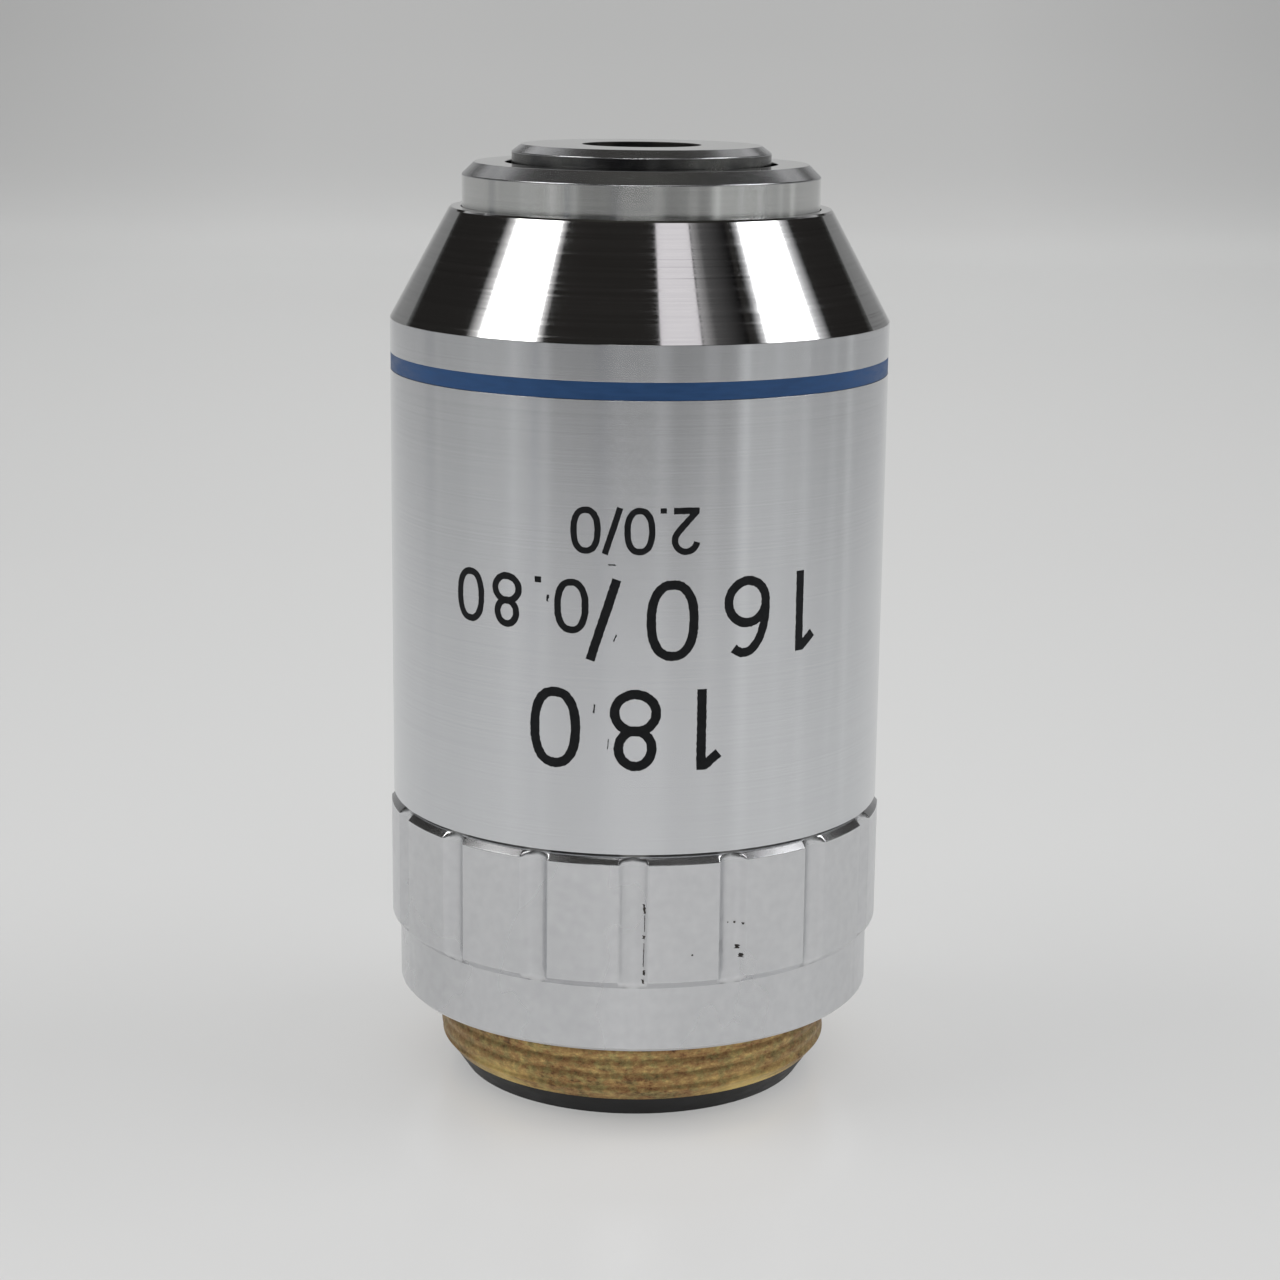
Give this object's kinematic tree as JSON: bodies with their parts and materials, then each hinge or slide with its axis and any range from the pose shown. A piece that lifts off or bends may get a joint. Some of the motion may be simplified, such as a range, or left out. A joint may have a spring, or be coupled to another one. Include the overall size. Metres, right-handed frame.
{
  "type": "microscope objective",
  "caption": "Turned metal microscope objective with a spring-loaded nose, fluted grip ring, coloured band and objective thread for a revolving nosepiece.",
  "frame": {"origin": "centre of the shoulder face, on the optical axis, where the objective seats on the nosepiece", "axes": "+Z along the optical axis towards the specimen, so the objective stands nose up; -Y faces the viewer of the picture"},
  "size_m": [0.0252, 0.0252, 0.0476],
  "materials": {
    "satin_chrome": "satin, finely turned",
    "polished_chrome": "polished",
    "thread_brass": "bare and tarnished",
    "plain_brass": "turned",
    "blackened_brass": "chemically blackened",
    "black_metal": "matt black",
    "blue_enamel": "enamel",
    "spring_steel": "bright",
    "lens_glass": "polished and coated"
  },
  "bodies": {
    "housing": {"mount_tube": "thread_brass", "rear_stop_ring": "black_metal", "grip_ring": "satin_chrome", "outer_sleeve": "satin_chrome", "color_band": "blue_enamel", "parfocal_shim": "plain_brass", "return_spring": "spring_steel", "guide_screw": "spring_steel"},
    "nose": {"lens_barrel": "polished_chrome", "front_cell": "polished_chrome", "front_lens": "lens_glass", "meniscus_cell": "blackened_brass", "meniscus_lens": "lens_glass", "front_spacer": "plain_brass", "doublet_cell": "blackened_brass", "doublet_crown": "lens_glass", "doublet_flint": "lens_glass", "middle_spacer": "plain_brass", "triplet_cell": "blackened_brass", "triplet_front": "lens_glass", "triplet_middle": "lens_glass", "triplet_rear": "lens_glass", "rear_spacer": "plain_brass", "inner_gauss_cell": "blackened_brass", "inner_gauss_crown": "lens_glass", "inner_gauss_flint": "lens_glass", "outer_gauss_cell": "blackened_brass", "outer_gauss_flint": "lens_glass", "outer_gauss_crown": "lens_glass", "cell_lock_ring": "blackened_brass"}
  },
  "joints": [
    {"name": "nose_retract", "type": "slide", "parent": "housing", "child": "nose", "axis": [0, 0, -1], "range_m": [0, 0.002], "stiffness_N_per_m": 800, "springref_m": -0.006, "deforming": ["return_spring"]}
  ]
}
